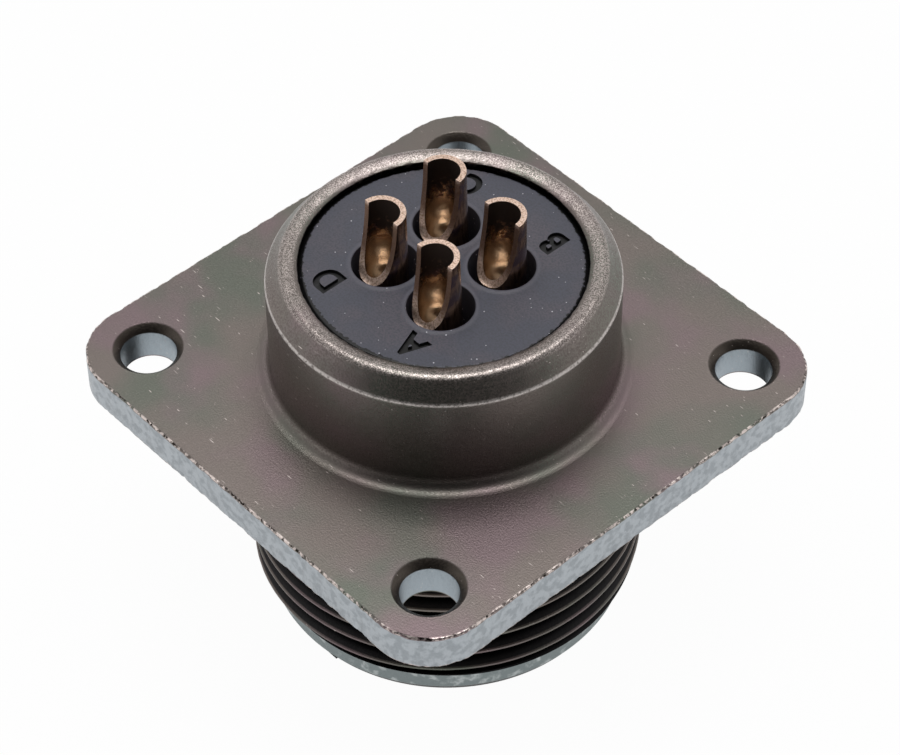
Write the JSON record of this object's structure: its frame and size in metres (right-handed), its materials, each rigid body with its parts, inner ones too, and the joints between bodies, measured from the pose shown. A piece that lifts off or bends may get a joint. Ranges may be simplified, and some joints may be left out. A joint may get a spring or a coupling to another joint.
{
  "type": "circular connector receptacle",
  "caption": "Square-flange panel receptacle with a threaded barrel, a smooth collar, and pin contacts whose open solder cups stand out of a dark insulator.",
  "frame": {"origin": "centre of the mating end's rim, on the barrel's axis, where the part stands", "axes": "+Z along the barrel's axis, from the mating end towards the solder cups; the flange's sides run along X and Y; the keyway and the open sides of the cups face -Y"},
  "size_m": [0.0298, 0.0298, 0.0272],
  "materials": {
    "shell": "dark grey-brown conversion plating, worn bright at the edges",
    "front_insulator": "matte moulded insulator",
    "rear_insulator": "matte moulded insulator with recessed contact letters",
    "contact": "tarnished copper alloy with freshly cut edges"
  },
  "bodies": {
    "root": {"shell": "shell", "front_insulator": "front_insulator", "rear_insulator": "rear_insulator", "contact_a": "contact", "contact_b": "contact", "contact_c": "contact", "contact_d": "contact"}
  },
  "joints": []
}
